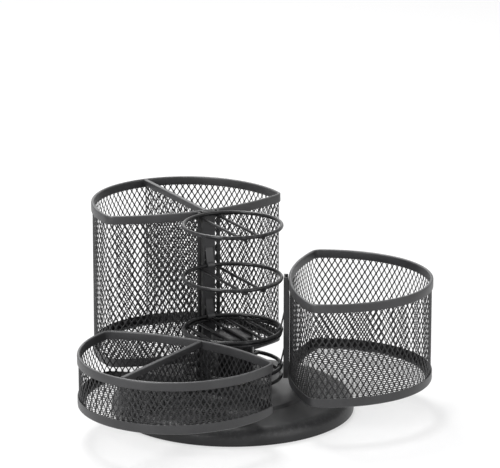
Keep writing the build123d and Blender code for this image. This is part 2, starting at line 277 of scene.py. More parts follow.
@dataclass(frozen=True)
class PowderCoat(Finish):
    """Black powder paint: fine dimples, slight mottling, and rubbed edges that turn greyer."""

    colour: Colour
    rubbed: Colour = (0.11, 0.11, 0.115)
    gloss: float = 0.42
    dimple: float = 0.9 * MM
    dimple_depth: float = 0.012 * MM
    grain: float = 0.16 * MM
    grain_depth: float = 0.0035 * MM
    wear: float = 0.35
    coat: float = 0.08
    coat_rough: float = 0.3
    shine: float = 0.5

    def mixed(self) -> bpy.types.Material:
        """Mix the paint from dimples, grain, mottling, specks and worn edges.

        Returns:
            The material.
        """
        material, tree, where = self.tree()
        dimples = tree.noise(where, self.dimple, 2.0, 0.45)
        grain = tree.noise(where, self.grain, 3.0, 0.6)
        cloud = tree.noise(where, 19 * MM, 4.0, 0.6)
        scuff = tree.noise(where, 2.6 * MM, 5.0, 0.7).between(0.46, 0.66)
        speck = tree.noise(where, 0.34 * MM, 1.0, 0.4).between(0.66, 0.78)
        edge = tree.node("ShaderNodeAttribute", {"attribute_name": "edge"}, output="Fac")
        worn = edge * scuff * self.wear
        light = tuple(min(1.0, 1.45 * c + 0.004) for c in self.colour)
        paint = tree.mix(cloud.between(0.3, 0.75), self.colour, light)
        paint = tree.mix(speck * 0.3, paint, (0.075, 0.075, 0.08))
        paint = tree.mix(worn, paint, self.rubbed)
        rough = self.gloss - 0.05 + 0.12 * cloud + 0.07 * grain - 0.1 * worn
        normal = tree.relief(grain, self.grain_depth, tree.relief(dimples, self.dimple_depth))
        sockets = {
            "Base Color": paint,
            "Roughness": rough,
            "Normal": normal,
            "IOR": 1.5,
            "Specular IOR Level": self.shine,
            "Coat Roughness": self.coat_rough,
            "Coat Weight": self.coat,
        }
        tree.close(tree.node("ShaderNodeBsdfPrincipled", None, sockets))
        return material


@dataclass(frozen=True)
class FoamRubber(Finish):
    """Non-slip sheet: closed pores, matt, faintly dusty."""

    colour: Colour = (0.022, 0.022, 0.023)
    pore: float = 0.7 * MM

    def mixed(self) -> bpy.types.Material:
        """Mix the rubber from pores, dust and fine grain.

        Returns:
            The material.
        """
        material, tree, where = self.tree()
        cells = tree.node("ShaderNodeTexVoronoi", None, {"Vector": where, "Scale": 1 / self.pore})
        pores = cells.between(0.05, 0.5)
        grain = tree.noise(where, 0.2 * MM, 3.0, 0.6)
        dust = tree.noise(where, 9 * MM, 5.0, 0.65).between(0.5, 0.8)
        colour = tree.mix(dust * 0.35, self.colour, (0.07, 0.068, 0.065))
        normal = tree.relief(grain, 0.02 * MM, tree.relief(pores, 0.12 * MM))
        sockets = {"Base Color": colour, "Roughness": 0.82 + 0.1 * grain, "Normal": normal}
        tree.close(tree.node("ShaderNodeBsdfPrincipled", None, sockets))
        return material


@dataclass(frozen=True)
class BareSteel(Finish):
    """Turned or cut steel under thin zinc: fine lathe lines and a few stains."""

    colour: Colour = (0.56, 0.57, 0.58)
    line: float = 0.12 * MM

    def mixed(self) -> bpy.types.Material:
        """Mix the steel from lathe lines and stains.

        Returns:
            The material.
        """
        material, tree, where = self.tree()
        level = tree.node("ShaderNodeMapping", None, {"Vector": where, "Scale": (0.04, 0.04, 1.0)})
        lines = tree.noise(level, self.line, 3.0, 0.6)
        stain = tree.noise(where, 6 * MM, 5.0, 0.7).between(0.48, 0.75)
        colour = tree.mix(stain * 0.5, self.colour, (0.33, 0.33, 0.34))
        sockets = {
            "Base Color": colour,
            "Metallic": 1.0,
            "Roughness": 0.24 + 0.16 * stain + 0.1 * lines,
            "Normal": tree.relief(lines, 0.006 * MM),
        }
        tree.close(tree.node("ShaderNodeBsdfPrincipled", None, sockets))
        return material


@dataclass(frozen=True)
class BearingPlastic(Finish):
    """Off-white acetal of the bushes and the thrust washer."""

    colour: Colour = (0.72, 0.71, 0.66)

    def mixed(self) -> bpy.types.Material:
        """Mix the plastic from a moulded grain and faint grease marks.

        Returns:
            The material.
        """
        material, tree, where = self.tree()
        grain = tree.noise(where, 0.25 * MM, 3.0, 0.55)
        grease = tree.noise(where, 3 * MM, 4.0, 0.6).between(0.5, 0.72)
        colour = tree.mix(grease * 0.4, self.colour, (0.5, 0.48, 0.42))
        sockets = {
            "Base Color": colour,
            "Roughness": 0.46 - 0.18 * grease + 0.06 * grain,
            "Normal": tree.relief(grain, 0.01 * MM),
        }
        tree.close(tree.node("ShaderNodeBsdfPrincipled", None, sockets))
        return material


@dataclass(frozen=True)
class PaleFloor(Finish):
    """White studio floor that keeps soft shadows."""

    colour: Colour = (0.9, 0.9, 0.905)
    white_share: float = 0.6

    def mixed(self) -> bpy.types.Material:
        """Mix the floor: matt white, faintly uneven, part of it plain white to the camera.

        Returns:
            The material.
        """
        material, tree, where = self.tree()
        cloud = tree.noise(where, 160 * MM, 3.0, 0.5)
        colour = tree.mix(cloud * 0.3, self.colour, (0.88, 0.88, 0.885))
        sockets = {"Base Color": colour, "Roughness": 0.9, "Specular IOR Level": 0.1}
        matt = tree.node("ShaderNodeBsdfPrincipled", None, sockets)
        plain = tree.node("ShaderNodeEmission", None, {"Color": WHITE, "Strength": 1.0})
        share = tree.seen() * self.white_share
        tree.close(tree.node("ShaderNodeMixShader", None, {0: share, 1: matt, 2: plain}))
        return material


FOOT_PAINT = PowderCoat(
    "foot_paint", Slot.FOOT, (0.0105, 0.0105, 0.0112), gloss=0.36, wear=0.2, coat=0.0, shine=0.36
)
WIRE_PAINT = PowderCoat(
    "wire_paint",
    Slot.COAT,
    (0.006, 0.006, 0.0064),
    gloss=0.25,
    coat=0.16,
    coat_rough=0.12,
    shine=0.16,
)
BAND_PAINT = PowderCoat("band_paint", Slot.COAT, (0.017, 0.017, 0.0181), gloss=0.4)
MESH_PAINT = PowderCoat(
    "mesh_paint", Slot.MESH, (0.012, 0.012, 0.0127), gloss=0.33, wear=0.25, shine=0.22
)
PAD_RUBBER = FoamRubber("pad_rubber", Slot.RUBBER)
ZINC_STEEL = BareSteel("zinc_steel", Slot.STEEL)
ACETAL = BearingPlastic("acetal", Slot.PLASTIC)
FLOOR = PaleFloor("studio_white", Slot.COAT)


# Shapes


def bevel_points(shape: Shape, points: list[Point], offset: float, segments: int) -> None:
    """Cut or round the corners of a flat shape.

    Args:
        shape: The shape.
        points: The corners' vertices.
        offset: How far along its edges each corner is cut.
        segments: The number of steps along each cut.
    """
    style = {"offset_type": "OFFSET", "profile": 0.5, "affect": "VERTICES", "material": -1}
    bmesh.ops.bevel(
        shape, geom=points, offset=offset, segments=segments, clamp_overlap=False, **style
    )


def section(corners: Sequence[Corner], arc_steps: int) -> list[Vector]:
    """Round the corners of a closed outline.

    Args:
        corners: Each corner as across, up and fillet radius.
        arc_steps: The number of steps along each fillet.

    Returns:
        The rounded outline in order, in the XZ plane.
    """
    shape = bmesh.new()
    points = [shape.verts.new((across, 0.0, up)) for across, up, _ in corners]
    for first, second in zip(points, points[1:] + points[:1]):
        shape.edges.new((first, second))
    for index, point in enumerate(points):
        radius = corners[index][2]
        before = Vector(corners[index - 1][:2]) - Vector(corners[index][:2])
        after = Vector(corners[(index + 1) % len(corners)][:2]) - Vector(corners[index][:2])
        if radius > 0:
            bevel_points(shape, [point], radius / math.tan(before.angle(after) / 2), arc_steps)
    walk = [next(iter(shape.verts))]
    edge = walk[0].link_edges[0]
    while len(walk) < len(shape.verts):
        walk.append(edge.other_vert(walk[-1]))
        edge = next(e for e in walk[-1].link_edges if e is not edge)
    outline = [v.co.copy() for v in walk]
    shape.free()
    return outline


def ring_of(outline: Sequence[Vector], steps: int) -> Shape:
    """Turn a closed outline once round the Z axis.

    Args:
        outline: The outline, in the XZ plane.
        steps: The number of steps round.

    Returns:
        The closed ring.
    """
    shape = bmesh.new()
    points = [shape.verts.new(point) for point in outline]
    edges = [shape.edges.new(pair) for pair in zip(points, points[1:] + points[:1])]
    turned_part(shape, points + edges, steps)
    return shape


def turned_part(shape: Shape, profile: list[Point | Edge], steps: int) -> None:
    """Spin a profile once round the Z axis and close what it makes.

    Args:
        shape: The shape that holds the profile.
        profile: The profile's vertices and edges.
        steps: The number of steps round.
    """
    axis = {"cent": (0, 0, 0), "axis": (0, 0, 1), "angle": math.tau}
    bmesh.ops.spin(shape, geom=profile, steps=steps, use_merge=True, use_duplicate=False, **axis)
    close_up(shape)


def all_of(shape: Shape) -> list[Point | Edge | bmesh.types.BMFace]:
    """Every vertex, edge and face of a shape."""
    return [*shape.verts, *shape.edges, *shape.faces]


def cut_across(
    shape: Shape, point: Sequence[float], across: Sequence[float], snap: float, trim: bool = False
) -> None:
    """Cut a whole shape with a plane.

    Args:
        shape: The shape.
        point: A point on the plane.
        across: The plane's direction.
        snap: The distance at which a vertex counts as on the plane.
        trim: Whether what lies beyond the plane goes.
    """
    plane = {"plane_co": point, "plane_no": across, "clear_outer": trim}
    bmesh.ops.bisect_plane(shape, geom=all_of(shape), dist=snap, **plane)


def close_up(shape: Shape) -> None:
    """Merge what touches and turn every face outwards."""
    bmesh.ops.remove_doubles(shape, verts=shape.verts, dist=0.002 * MM)
    bmesh.ops.recalc_face_normals(shape, faces=shape.faces)


def kind_of(grown: list, kind: type) -> list:
    """Pick the vertices or the edges out of what an operator returns."""
    return [part for part in grown if isinstance(part, kind)]


def bridge(shape: Shape, first: list[Point], second: list[Point]) -> None:
    """Join two closed loops of vertices with faces.

    Args:
        shape: The shape that holds the loops.
        first: One loop's vertices.
        second: The other loop's.
    """
    edges = []
    for loop in (first, second):
        inside = set(loop)
        edges += {e for v in loop for e in v.link_edges if e.other_vert(v) in inside}
    bmesh.ops.bridge_loops(shape, edges=edges)


def add_bar(shape: Shape, start: Vector, end: Vector, radius: float) -> None:
    """Add a straight wire with domed ends.

    Args:
        shape: The shape that takes the wire.
        start: The middle of one end.
        end: The middle of the other end.
        radius: The wire's radius.
    """
    along = end - start
    place = Matrix.Translation(start) @ along.to_track_quat("Z", "Y").to_matrix().to_4x4()
    dome = [(0.0, 0.62), (0.12, 0.86), (0.4, 1.0)]
    stations = [(depth * radius, share) for depth, share in dome]
    stations += [(along.length - depth * radius, share) for depth, share in reversed(dome)]
    loops = []
    for index, (distance, share) in enumerate(stations):
        capped = index in (0, len(stations) - 1)
        at = place @ Matrix.Translation((0, 0, distance))
        circle = {"radius": radius * share, "segments": 14, "matrix": at}
        loops.append(bmesh.ops.create_circle(shape, cap_ends=capped, **circle)["verts"])
    for first, second in zip(loops, loops[1:]):
        bridge(shape, first, second)


def add_weld(shape: Shape, at: Vector, size: Corner, azimuth: float) -> None:
    """Add the small rounded bead of a spot weld.

    Args:
        shape: The shape that takes the bead.
        at: Its middle.
        size: Its half sizes along the azimuth, across it and upwards.
        azimuth: The bearing of its first half size, in degrees.
    """
    turn = Matrix.Rotation(math.radians(azimuth), 4, "Z")
    place = Matrix.Translation(at) @ turn @ Matrix.Diagonal((*size, 1.0))
    bmesh.ops.create_icosphere(shape, subdivisions=2, radius=1.0, matrix=place)


def bearing(radius: float, azimuth: float, height: float) -> Vector:
    """Point at a radius, azimuth in degrees and height."""
    angle = math.radians(azimuth)
    return Vector((radius * math.cos(angle), radius * math.sin(angle), height))


@dataclass(frozen=True)
class Piece:
    """What a finished shape is called, what it rides on and what it stands for."""

    name: str
    body: Body
    finish: Finish
    stands_for: tuple[str, ...]
    sharp_from: float = 42.0

    def hand_over(self, shape: Shape) -> None:
        """Turn the shape into an object, its faces outwards, and tie it to the frame.

        Args:
            shape: The finished shape, in place.
        """
        bmesh.ops.recalc_face_normals(shape, faces=shape.faces)
        mesh = bpy.data.meshes.new(self.name)
        shape.to_mesh(mesh)
        shape.free()
        mesh.shade_smooth()
        mesh.set_sharp_from_angle(angle=math.radians(self.sharp_from))
        mesh.materials.append(self.finish.material())
        made = bpy.data.objects.new(self.name, mesh)
        bpy.context.collection.objects.link(made)
        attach(made, self.body.value)
        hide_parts(*self.stands_for)
        log.info("%s: %d faces, rides on %s", self.name, len(mesh.polygons), self.body.value)


def mark_edges(shape: Shape, reach: Callable[[Vector], float]) -> None:
    """Store how near each vertex is to an edge that gets rubbed.

    Args:
        shape: The shape.
        reach: Gives 1 on such an edge and 0 away from it.
    """
    layer = shape.verts.layers.float.new("edge")
    for vertex in shape.verts:
        vertex[layer] = max(0.0, min(1.0, reach(vertex.co)))


# Foot


@dataclass
class Foot:
    """The pressed steel foot with its rubber sheet, ballast and bearing parts."""

    radius: float = 75.0 * MM
    sheet: float = 1.2 * MM
    foot_gap: float = 0.6 * MM
    shoulder: float = 10.4 * MM
    shoulder_fillet: float = 8.0 * MM
    step_out: float = 46.5 * MM
    step_in: float = 43.5 * MM
    step_low: float = 11.4 * MM
    step_high: float = 12.6 * MM
    flare_radius: float = 27.0 * MM
    flare_height: float = 13.2 * MM
    flare_fillet: float = 9.0 * MM
    collar_radius: float = 16.0 * MM
    collar_height: float = 18.5 * MM
    bore: float = 4.1 * MM
    steps: int = 180
    rubbed_reach: float = 5.0 * MM
    steel: tuple[str, ...] = (
        "ballast_plate",
        "spindle",
        "spindle_washer",
        "spindle_screw",
        "collar_spacer",
        "retaining_clip",
    )

    def outline(self) -> list[Vector]:
        """Section of the pressed sheet, its upper side first.

        Returns:
            The closed outline, in the XZ plane.
        """
        small, lip, brim = 2.0 * MM, 0.35 * MM, 1.5 * MM
        upper = [
            (self.radius, self.foot_gap, lip),
            (self.radius, self.shoulder, self.shoulder_fillet),
            (self.step_out, self.step_low, small),
            (self.step_in, self.step_high, small),
            (self.flare_radius, self.flare_height, self.flare_fillet),
            (self.collar_radius, self.collar_height, brim),
            (self.bore, self.collar_height, 0.0),
        ]
        fillets = (self.shoulder_fillet - self.sheet, small, small, self.flare_fillet, brim)
        lower = [(r - self.sheet, z - self.sheet, f) for (r, z, _), f in zip(upper[1:6], fillets)]
        lower.insert(0, (self.radius - self.sheet, self.foot_gap, lip))
        lower.append((self.bore, self.collar_height - self.sheet, 0.0))
        return section(upper + lower[::-1], 12)

    def build(self) -> None:
        """Build the shell and dress the solids that stay."""

        def from_shoulder(point: Vector) -> float:
            """Distance from the shoulder's edge, in rubbed reaches."""
            out = self.radius - math.hypot(point.x, point.y)
            return math.hypot(out, self.shoulder - point.z) / self.rubbed_reach

        shell = ring_of(self.outline(), self.steps)
        mark_edges(shell, lambda p: 1.4 - from_shoulder(p))
        Piece("foot_shell", Body.FOOT, FOOT_PAINT, ("base_shell",)).hand_over(shell)
        dress({"non_slip_pad": PAD_RUBBER, "thrust_washer": ACETAL})
        dress(dict.fromkeys(self.steel, ZINC_STEEL))


def dress(kept: dict[str, Finish]) -> None:
    """Give the solids that stay as they are their finishes.

    Args:
        kept: The finish of each node.
    """
    for node, finish in kept.items():
        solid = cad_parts[node]
        if not solid.material_slots:
            solid.data.materials.append(finish.material())
        for slot in solid.material_slots:
            slot.material = finish.material()
        log.info("%s: keeps its solid, finished in %s", node, finish.name)


# Silo

RINGS = ("ring_top", "ring_middle", "ring_silo_floor", "ring_lower", "ring_bottom")
SIDES = (("left", 1), ("right", -1))


@dataclass
class Silo:
    """The turning hub with its five rings, thin wires, uprights and spokes."""

    ring_radius: float = 30.0 * MM
    wire: float = 2.4 * MM
    thin: float = 1.8 * MM
    wire_offset: float = 6.1 * MM
    floor_pitch: float = 9.8 * MM
    upright_radius: float = 32.45 * MM
    azimuth: float = 120.0
    hub_radius: float = 13.0 * MM
    hub_wall: float = 2.0 * MM
    bead: float = 0.5 * MM
    seam_turn: float = 34.0
    overhang: float = 0.3 * MM
    steps: int = 128

    def __post_init__(self) -> None:
        """Read the heights that the rings and wires have in the frame."""
        names = (*RINGS, "silo_floor_hoop")
        self.height = {name: sum(corner.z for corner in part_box(name)) / 2 for name in names}

    def wire_point(self, along: float, aside: float, height: float) -> Vector:
        """Point given along and aside of the thin wires' direction."""
        return Matrix.Rotation(math.radians(self.azimuth), 3, "Z") @ Vector((along, aside, height))

    def build_wire(
        self, name: str, node: str, ends: Sequence[Vector], wire: float, welds: Sequence[tuple]
    ) -> None:
        """Build one straight wire with its weld beads.

        Args:
            name: The piece's name.
            node: The solid that it stands for.
            ends: The middles of its two ends.
            wire: The wire's diameter.
            welds: Each bead's middle, half sizes and azimuth in degrees.
        """
        shape = bmesh.new()
        add_bar(shape, *ends, wire / 2)
        for weld in welds:
            add_weld(shape, *weld)
        mark_edges(shape, lambda p: 0.2)
        Piece(name, Body.SILO, WIRE_PAINT, (node,)).hand_over(shape)

    def build_ring(self, name: str, node: str, radius: float, wire: float) -> None:
        """Build one wire ring with the seam where its ends are butt welded.

        Args:
            name: The piece's name.
            node: The solid that it stands for.
            radius: The ring's middle radius.
            wire: The wire's diameter.
        """
        height, seam = self.height[node], self.azimuth + self.seam_turn
        place = Matrix.Translation((radius, 0, height)) @ Matrix.Rotation(math.pi / 2, 4, "X")
        shape = bmesh.new()
        bmesh.ops.create_circle(shape, cap_ends=False, radius=wire / 2, segments=16, matrix=place)
        turned_part(shape, [*shape.verts, *shape.edges], self.steps)
        size = (wire / 2 + 0.12 * MM, 0.75 * MM, wire / 2 + 0.1 * MM)
        add_weld(shape, bearing(radius, seam, height), size, seam)
        mark_edges(shape, lambda p: (math.hypot(p.x, p.y) - radius) / wire + 0.4)
        Piece(name, Body.SILO, WIRE_PAINT, (node,)).hand_over(shape)

    def build_ring_wires(self, ring: str) -> None:
        """Build the pair of thin wires under a ring, with their welds.

        Args:
            ring: The ring's node.
        """
        height = self.height[ring] - (self.wire + self.thin) / 2
        half = math.sqrt(self.ring_radius**2 - self.wire_offset**2)
        size, lift = (1.25 * MM, 1.15 * MM, self.bead), Vector((0, 0, self.thin / 2))
        for side_name, side in SIDES:
            aside = side * self.wire_offset
            ends = [self.wire_point(sign * half, aside, height) for sign in (-1, 1)]
            reach = (ends[1] - ends[0]).normalized() * self.overhang
            welds = [(end + lift, size, self.azimuth) for end in ends]
            name, node = f"{ring}_thin_wire_{side_name}", f"{ring}_divider_{side_name}"
            self.build_wire(name, node, (ends[0] - reach, ends[1] + reach), self.thin, welds)

    def build_floor_wires(self) -> None:
        """Build the five wires that are the silo's floor."""
        height = self.height["silo_floor_hoop"]
        reach = self.ring_radius - (self.wire - self.thin) / 2
        for index in range(5):
            aside = (index - 2) * self.floor_pitch
            half = math.sqrt((reach - self.thin / 2) ** 2 - (abs(aside) + self.thin / 2) ** 2)
            ends = [self.wire_point(sign * half, aside, height) for sign in (-1, 1)]
            welds = [(end, (1.0 * MM, 1.0 * MM, 0.85 * MM), self.azimuth) for end in ends]
            name = f"floor_wire_{index + 1}"
            self.build_wire(name, f"silo_{name}", ends, self.thin, welds)

    def build_uprights(self) -> None:
        """Build the two upright wires behind the rings, with a weld at each ring."""
        spread = math.degrees(math.asin(self.wire_offset / self.ring_radius))
        size, touch = (0.6 * MM, 1.35 * MM, 0.9 * MM), self.ring_radius + self.wire / 2
        for side_name, side in SIDES:
            node = f"upright_{side_name}"
            azimuth = self.azimuth + side * spread
            ends = [bearing(self.upright_radius, azimuth, corner.z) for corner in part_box(node)]
            welds = [(bearing(touch, azimuth, self.height[ring]), size, azimuth) for ring in RINGS]
            self.build_wire(f"{node}_wire", node, ends, self.wire, welds)

    def build_spokes(self) -> None:
        """Build the short spokes that carry the two lower rings on the hub."""
        gap = 0.02 * MM
        for ring in ("ring_lower", "ring_bottom"):
            for index in range(3):
                azimuth = self.azimuth / 2 + index * 120.0
                reaches = (self.hub_radius + gap, self.ring_radius - self.wire / 2 - gap)
                ends = [bearing(reach, azimuth, self.height[ring]) for reach in reaches]
                sizes = ((0.7 * MM, 1.6 * MM, 1.55 * MM), (0.7 * MM, 1.7 * MM, 1.15 * MM))
                welds = [(end, size, azimuth) for end, size in zip(ends, sizes)]
                node = f"{ring}_spoke_{index + 1}"
                self.build_wire(f"{node}_wire", node, ends, self.wire, welds)

    def build_hub(self) -> None:
        """Build the hub's tube and its cap."""
        low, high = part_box("hub_sleeve")
        out, inner, edge = self.hub_radius, self.hub_radius - self.hub_wall, 0.4 * MM
        tube = [(out, low.z), (out, high.z), (inner, high.z), (inner, low.z)]
        shape = ring_of(section([(*corner, edge) for corner in tube], 4), self.steps)
        mark_edges(shape, lambda p: 1 - min(p.z - low.z, high.z - p.z) / (1.2 * MM))
        Piece("hub_tube", Body.SILO, WIRE_PAINT, ("hub_sleeve",)).hand_over(shape)
        low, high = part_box("hub_cap")
        shape = bmesh.new()
        pole, bevel = 0.4 * MM, 0.3 * MM
        rows = [(pole, low.z), (out - bevel, low.z), (out, low.z + bevel)]
        crown = ((0.0, 0.6), (0.2, 0.25), (0.7, 0.05), (3.0, 0.0))
        rows += [(out - inset * MM, high.z - drop * MM) for inset, drop in crown]
        rows += [(pole, high.z)]
        profile = [shape.verts.new((radius, 0.0, height)) for radius, height in rows]
        edges = [shape.edges.new(pair) for pair in zip(profile, profile[1:])]
        turned_part(shape, profile + edges, self.steps)
        bmesh.ops.holes_fill(shape, edges=[e for e in shape.edges if e.is_boundary])
        mark_edges(shape, lambda p: 1 - abs(out - math.hypot(p.x, p.y)) / (1.5 * MM))
        Piece("hub_lid", Body.SILO, WIRE_PAINT, ("hub_cap",)).hand_over(shape)

    def build(self) -> None:
        """Build the whole silo."""
        self.build_hub()
        for node in RINGS:
            name = node.removeprefix("ring_") + "_ring"
            self.build_ring(name, node, self.ring_radius, self.wire)
        inside = self.ring_radius - (self.wire - self.thin) / 2
        self.build_ring("silo_floor_rim", "silo_floor_hoop", inside, self.thin)
        for node in RINGS[:2]:
            self.build_ring_wires(node)
        self.build_floor_wires()
        self.build_uprights()
        self.build_spokes()
        dress({"lower_bush": ACETAL, "upper_bush": ACETAL})


# Expanded metal


@dataclass(frozen=True)
class ExpandedMetal:
    """Steel mesh of diamond openings, flattened and painted."""

    across: float = 3.9 * MM
    along: float = 6.3 * MM
    strand: float = 0.78 * MM
    knuckle: float = 0.5 * MM
    ridge: float = 0.24 * MM
    twist: float = 0.12 * MM

    def sheet(
        self,
        width: float,
        height: float,
        trims: Sequence[tuple[Vector, Vector]] = (),
        shut_sides: bool = True,
    ) -> Shape:
        """Cut a flat sheet of mesh: long diagonals along Y, lower left corner at the origin.

        Args:
            width: The sheet's width, along X.
            height: Its height, along Y.
            trims: More straight cuts, each a point and an outward direction.
            shut_sides: Whether the left and right edges are closed, or are to be joined.

        Returns:
            The closed mesh, in the XY plane, with its thickness along Z.
        """
        across = width / round(width / self.across)
        along = 2 * height / round(2 * height / self.along)
        count = 2 * math.ceil((width / across + height / along) / 2) + 4
        shape = bmesh.new()
        middle = Vector((round(width / across) * across / 2, round(height / along) * along / 2, 0))
        stretch = count / math.sqrt(8)
        scale = Matrix.Diagonal((stretch * across, stretch * along, 1.0, 1.0))
        place = Matrix.Translation(middle) @ scale @ Matrix.Rotation(math.pi / 4, 4, "Z")
        bmesh.ops.create_grid(shape, x_segments=count, y_segments=count, size=1.0, matrix=place)
        near, far = Vector((0, 0, 0)), Vector((width, height, 0))
        sides = ((near, (-1, 0, 0)), (far, (1, 0, 0)), (near, (0, -1, 0)), (far, (0, 1, 0)))
        for point, outward in [*sides, *trims]:
            cut_across(shape, point, outward, 0.004 * MM, trim=True)
        bmesh.ops.remove_doubles(shape, verts=shape.verts, dist=0.03 * MM)
        self.open_up(shape)
        self.thicken(shape, width, shut_sides)
        return shape

    def open_up(self, shape: Shape) -> None:
        """Cut the openings and leave the strands and the wider knuckles between them.

        Args:
            shape: The lattice, one face for each opening.
        """


        def shortest(edges: Sequence[Edge]) -> float:
            """Length of the shortest edge."""
            return min(edge.calc_length() for edge in edges)

        crossings = (v for v in shape.verts if not v.is_boundary and len(v.link_edges) == 4)
        inner = [v for v in crossings if shortest(v.link_edges) > 3 * self.knuckle]
        bevel_points(shape, inner, self.knuckle, 1)
        least_area, least_side = 0.3 * self.across * self.along / 2, 0.9 * self.knuckle
        large = (f for f in shape.faces if f.calc_area() > least_area)
        cells = [f for f in large if shortest(f.edges) > least_side]
        bmesh.ops.inset_individual(
            shape, faces=cells, thickness=self.strand / 2, depth=0.0, use_even_offset=True
        )
        tilt = shape.verts.layers.float.new("tilt")
        ridge = shape.verts.layers.float.new("edge")
        for vertex in shape.verts:
            vertex[ridge] = 1.0
        for cell in cells:
            middle = cell.calc_center_median().y
            for vertex in cell.verts:
                vertex[tilt] = self.twist * (vertex.co.y - middle) / (self.along / 2)
                vertex[ridge] = 0.0
        bmesh.ops.delete(shape, geom=cells, context="FACES_ONLY")

    def thicken(self, shape: Shape, width: float, shut_sides: bool) -> None:
        """Raise the strands' middles, mirror them below and join both sides.

        Args:
            shape: The flat net.
            width: The sheet's width.
            shut_sides: Whether the left and right edges are closed.
        """
        tilt = shape.verts.layers.float["tilt"]
        ridge = shape.verts.layers.float["edge"]
        rim = []
        for edge in (e for e in shape.edges if e.is_boundary):
            from_side = max(min(abs(v.co.x), abs(v.co.x - width)) for v in edge.verts)
            if all(v[ridge] > 0.5 for v in edge.verts) and (shut_sides or from_side >= NEAR):
                rim.append(edge)
        for vertex in (v for v in shape.verts if v[ridge] > 0.5):
            vertex.co.z = self.ridge
        for vertex in kind_of(bmesh.ops.extrude_edge_only(shape, edges=rim)["geom"], Point):
            vertex.co.z = 0.0
        flat = Matrix.Identity(4)
        bmesh.ops.mirror(shape, geom=all_of(shape), matrix=flat, merge_dist=0.02 * MM, axis="Z")
        bmesh.ops.remove_doubles(shape, verts=shape.verts, dist=0.002 * MM)
        for vertex in shape.verts:
            vertex.co.z += vertex[tilt]


# Bins


@dataclass(frozen=True)
class PlanArc:
    """One arc of the bin's plan, run anticlockwise; angles in radians."""

    centre: tuple[float, float]
    radius: float
    start: float
    sweep: float

    def steps(self, length: float, longest: float, widest: float) -> int:
        """Count the steps along the arc.

        Args:
            length: The arc's length.
            longest: The longest step.
            widest: The widest step, in degrees.

        Returns:
            The number of steps.
        """
        return max(math.ceil(length / longest), math.ceil(math.degrees(self.sweep) / widest))


@dataclass
class BinPlan:
    """The rounded fan that all three bins share, seen from above."""

    front: float = 35.0 * MM
    depth: float = 87.3 * MM
    front_arc: float = 134.0 * MM
    corner_arc: float = 6.5 * MM
    side_arc: float = 71.0 * MM
    nose_arc: float = 58.0 * MM
    nose_angle: float = 53.0
    middle: float = 0.4 * MM

    def __post_init__(self) -> None:
        """Find the arcs' centres and put them in order, from the front's middle and back to it."""
        lean = math.radians(self.nose_angle)
        nose = Vector((self.front + self.depth - self.nose_arc, 0.0))
        side = nose - (self.side_arc - self.nose_arc) * Vector((math.cos(lean), math.sin(lean)))
        front = Vector((self.front + self.front_arc, 0.0))
        gap = front - side
        side_reach, front_reach = self.side_arc - self.corner_arc, self.front_arc - self.corner_arc
        along = (side_reach**2 - front_reach**2 + gap.length_squared) / (2 * gap.length)
        aside = math.sqrt(side_reach**2 - along**2)
        corner = side + (along * gap + aside * Vector((-gap.y, gap.x))) / gap.length
        first = math.atan2(corner.y - side.y, corner.x - side.x)
        last = math.atan2(corner.y - front.y, corner.x - front.x)
        upper = [
            PlanArc(tuple(side), self.side_arc, lean, first - lean),
            PlanArc(tuple(corner), self.corner_arc, first, last - first),
            PlanArc(tuple(front), self.front_arc, last, math.pi - last),
        ]
        lower = [
            PlanArc((arc.centre[0], -arc.centre[1]), arc.radius, -arc.start - arc.sweep, arc.sweep)
            for arc in reversed(upper)
        ]
        self.arcs = [*lower, PlanArc(tuple(nose), self.nose_arc, -lean, 2 * lean), *upper]
        self.lengths = [(arc.radius - self.middle) * arc.sweep for arc in self.arcs]
        self.length = sum(self.lengths)

    def point(self, distance: float, inset: float, height: float) -> Vector:
        """Point on the plan.

        Args:
            distance: How far round from the front's middle, along the wall's middle.
            inset: How far inside the wall's outer face.
            height: The height.

        Returns:
            The point.
        """
        distance = min(max(distance, 0.0), self.length)
        for arc, length in zip(self.arcs, self.lengths):
            if distance <= length or arc is self.arcs[-1]:
                break
            distance -= length
        angle = arc.start + arc.sweep * min(distance / length, 1.0)
        across, up = math.cos(angle), math.sin(angle)
        reach = arc.radius - inset
        return Vector((arc.centre[0] + reach * across, arc.centre[1] + reach * up, height))

    def stations(self) -> list[float]:
        """Follow every arc closely with straight steps.

        Returns:
            The steps' distances round the plan.
        """
        result, start = [], 0.0
        for arc, length in zip(self.arcs, self.lengths):
            count = max(2, arc.steps(length, 3.2 * MM, 6.0))
            result += [start + length * index / count for index in range(count)]
            start += length
        return result

    def band(self, outline: Sequence[Vector]) -> Shape:
        """Run a closed section round the plan.

        Args:
            outline: The section, its X the inset and its Z the height.

        Returns:
            The closed band.
        """
        shape = bmesh.new()
        points = [shape.verts.new((self.front + point.x, 0.0, point.z)) for point in outline]
        swept = points + [shape.edges.new(pair) for pair in zip(points, points[1:] + points[:1])]
        for arc, length in zip(self.arcs, self.lengths):
            turn = {"cent": (*arc.centre, 0), "axis": (0, 0, 1), "angle": arc.sweep}
            steps = max(3, arc.steps(length, 2.6 * MM, 5.0))
            swept = bmesh.ops.spin(
                shape, geom=swept, steps=steps, use_merge=False, use_duplicate=False, **turn
            )["geom_last"]
        close_up(shape)
        return shape

    def trims(self, inset: float) -> list[tuple[Vector, Vector]]:
        """Work out the straight cuts that shape a floor.

        Args:
            inset: How far inside the wall's outer face the floor ends.

        Returns:
            The cuts, each a point and an outward direction.
        """
        cuts = []
        points = [self.point(station, inset, 0.0) for station in self.stations()]
        for first, second in zip(points, points[1:] + points[:1]):
            run = second - first
            cuts.append((first, Vector((run.y, -run.x, 0)).normalized()))
        return cuts


